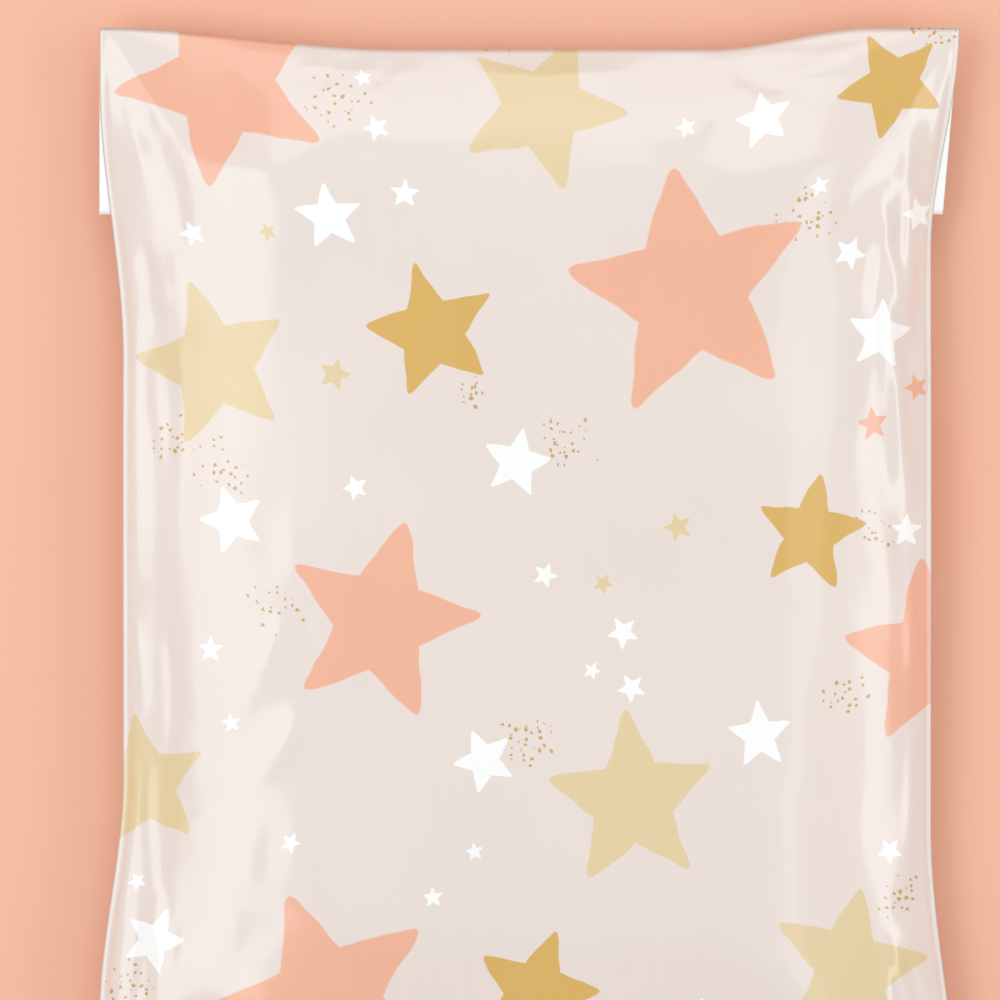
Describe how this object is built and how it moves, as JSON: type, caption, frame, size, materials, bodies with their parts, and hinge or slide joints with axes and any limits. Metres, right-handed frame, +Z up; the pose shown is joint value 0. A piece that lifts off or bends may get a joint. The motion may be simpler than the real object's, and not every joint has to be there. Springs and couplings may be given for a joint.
{
  "type": "poly mailer bag",
  "caption": "Sealed flat shipping bag of printed plastic film, softly filled, with welded sides and a flap folded over the top edge and stuck down on the back.",
  "frame": {"origin": "on the surface the bag lies on, under the middle of its outline", "axes": "+Z up and out of the printed front face, +Y along the bag towards the folded top edge, +X to the right as the front is seen"},
  "size_m": [0.2542, 0.33, 0.03],
  "materials": {
    "printed_film": "semi-gloss polyethylene film, cream with a star print in peach, sand, ochre and white outside and plain white inside"
  },
  "bodies": {
    "root": {"mailer_bag": "printed_film"}
  },
  "joints": []
}
